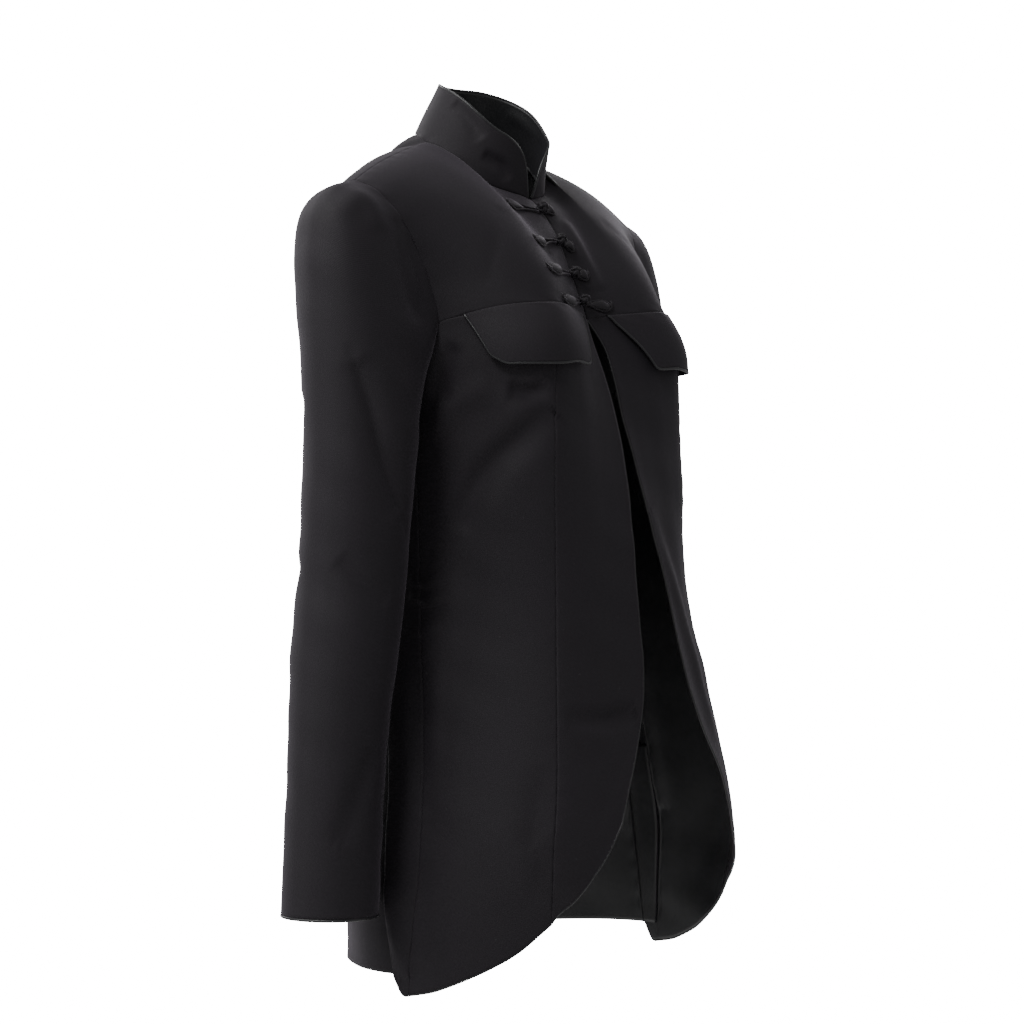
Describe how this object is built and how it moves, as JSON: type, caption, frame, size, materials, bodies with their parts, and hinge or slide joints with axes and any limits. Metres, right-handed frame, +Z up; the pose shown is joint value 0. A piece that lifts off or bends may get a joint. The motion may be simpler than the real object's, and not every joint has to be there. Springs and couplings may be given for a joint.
{
  "type": "mandarin collar jacket, in its worn hollow form",
  "caption": "Fitted hip-length black jacket with a stand collar, front yoke, flaps, frog fastenings and long sleeves, hollow as if worn.",
  "frame": {"origin": "midway between the two shoulder points, where the wearer's shoulders carry it", "axes": "+Z up, the front towards -Y, the wearer's left at +X"},
  "size_m": [0.5408, 0.279, 0.7575],
  "materials": {
    "wool_crepe": "matt black wool crepe",
    "satin": "black satin, soft sheen"
  },
  "bodies": {
    "root": {"back_left": "wool_crepe", "back_right": "wool_crepe", "centre_front_left": "wool_crepe", "centre_front_right": "wool_crepe", "collar": "wool_crepe", "flap_left": "wool_crepe", "flap_right": "wool_crepe", "front_yoke_left": "wool_crepe", "front_yoke_right": "wool_crepe", "side_front_left": "wool_crepe", "side_front_right": "wool_crepe", "side_panel_left": "wool_crepe", "side_panel_right": "wool_crepe", "under_sleeve_left": "wool_crepe", "under_sleeve_right": "wool_crepe", "upper_sleeve_left": "wool_crepe", "upper_sleeve_right": "wool_crepe", "collar_piping": "satin", "cuff_piping_left": "satin", "cuff_piping_right": "satin", "edge_piping_left": "satin", "edge_piping_right": "satin", "flap_piping_left": "satin", "flap_piping_right": "satin", "frog_1_knot": "satin", "frog_1_tail_left": "satin", "frog_1_tail_right": "satin", "frog_2_knot": "satin", "frog_2_tail_left": "satin", "frog_2_tail_right": "satin", "frog_3_knot": "satin", "frog_3_tail_left": "satin", "frog_3_tail_right": "satin", "frog_4_knot": "satin", "frog_4_tail_left": "satin", "frog_4_tail_right": "satin"}
  },
  "joints": []
}
